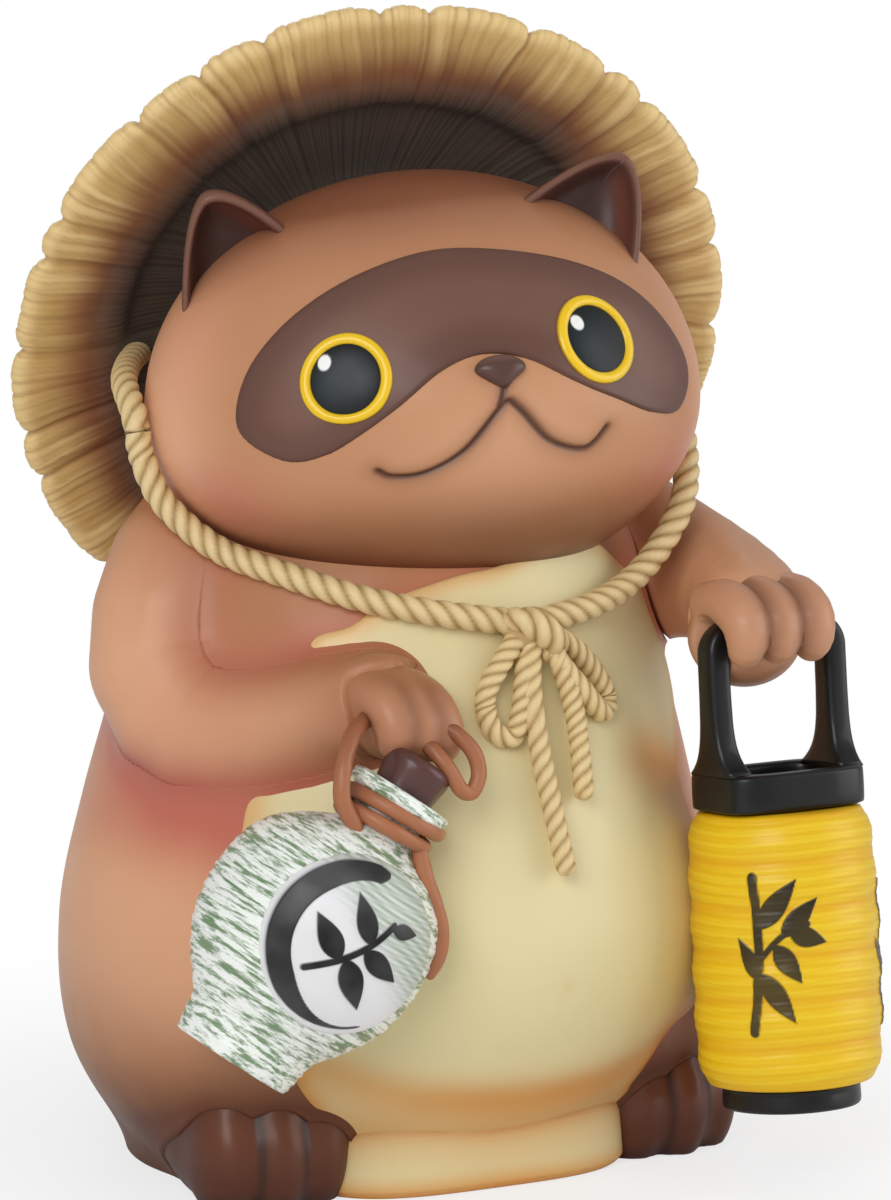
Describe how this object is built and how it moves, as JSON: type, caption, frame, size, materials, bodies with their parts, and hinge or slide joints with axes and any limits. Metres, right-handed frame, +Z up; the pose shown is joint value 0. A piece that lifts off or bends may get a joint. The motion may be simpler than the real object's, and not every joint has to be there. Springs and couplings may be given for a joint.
{
  "type": "tanuki statue",
  "caption": "Raccoon dog ornament in a straw hat, holding a jug and a paper lantern that swings from its paw, on a flat base with a rubber plug.",
  "frame": {"origin": "on the floor, at the middle of the flat underside, under the axis of the body", "axes": "+Z up, -Y the figure's front, +X the figure's left, where it holds the lantern"},
  "size_m": [0.1943, 0.2109, 0.2949],
  "materials": {
    "brown_fur": "satin",
    "dark_fur": "satin",
    "cream_belly": "satin",
    "straw": "matt",
    "rope": "matt",
    "eye_yellow": "gloss",
    "eye_dark": "gloss",
    "jug_glaze": "gloss",
    "jug_white": "gloss",
    "cord_brown": "satin",
    "lantern_yellow": "satin",
    "lantern_black": "gloss",
    "base_felt": "matt",
    "plug_rubber": "matt"
  },
  "bodies": {
    "figure": {"body_shell": "brown_fur", "belly_panel": "cream_belly", "pouch": "cream_belly", "right_foot": "dark_fur", "left_foot": "dark_fur", "tail": "dark_fur", "base_plate": "base_felt", "right_arm": "brown_fur", "right_paw": "brown_fur", "left_arm": "brown_fur", "left_paw": "brown_fur", "left_fingers": "brown_fur", "head_shell": "brown_fur", "face_mask": "dark_fur", "right_ear": "dark_fur", "left_ear": "dark_fur", "right_eye": "eye_yellow", "left_eye": "eye_yellow", "right_pupil": "eye_dark", "left_pupil": "eye_dark", "nose": "dark_fur", "hat": "straw", "rope_right": "rope", "rope_left": "rope", "bow_knot": "rope", "bow_loop_right": "rope", "bow_loop_left": "rope", "bow_tail_long": "rope", "bow_tail_short": "rope", "jug_body": "jug_glaze", "jug_label": "jug_white", "jug_stopper": "dark_fur", "jug_cord": "cord_brown", "jug_strap": "cord_brown", "jug_loop": "cord_brown"},
    "lantern": {"lantern_paper": "lantern_yellow", "lantern_frame": "lantern_black", "lantern_handle": "lantern_black", "lantern_foot": "lantern_black"},
    "plug": {"base_plug": "plug_rubber"}
  },
  "joints": [
    {"name": "lantern_swing", "type": "hinge", "parent": "figure", "child": "lantern", "pos_m": [0.0705, -0.075, 0.139], "axis": [-1, 0, 0], "range_deg": [0, 30]},
    {"name": "base_plug_pull", "type": "slide", "parent": "figure", "child": "plug", "axis": [0, 0, -1], "range_m": [0, 0.012]}
  ]
}
